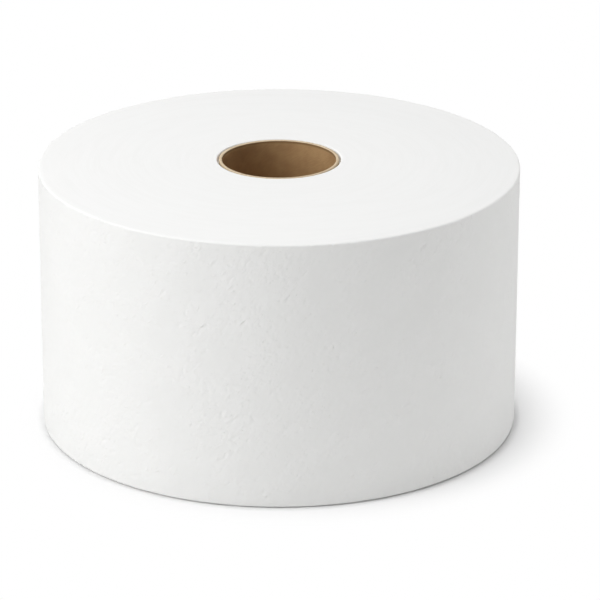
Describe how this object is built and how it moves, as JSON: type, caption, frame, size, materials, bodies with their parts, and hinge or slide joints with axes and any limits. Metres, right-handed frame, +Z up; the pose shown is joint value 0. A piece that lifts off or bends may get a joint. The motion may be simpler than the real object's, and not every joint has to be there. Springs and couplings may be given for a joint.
{
  "type": "toilet paper roll",
  "caption": "Jumbo roll of white toilet tissue wound on a brown cardboard tube, standing on its end.",
  "frame": {"origin": "middle of the lower end, on the surface the roll stands on", "axes": "+Z up along the roll's axis; the free end of the tissue lies about 115 degrees from +X, at the back"},
  "size_m": [0.1895, 0.1897, 0.108],
  "materials": {
    "tissue": "soft white two-ply tissue, matt, with a fine crepe",
    "core_board": "brown kraft board, matt, with a paler cut end"
  },
  "bodies": {
    "root": {"wound_paper": "tissue", "cardboard_core": "core_board"}
  },
  "joints": []
}
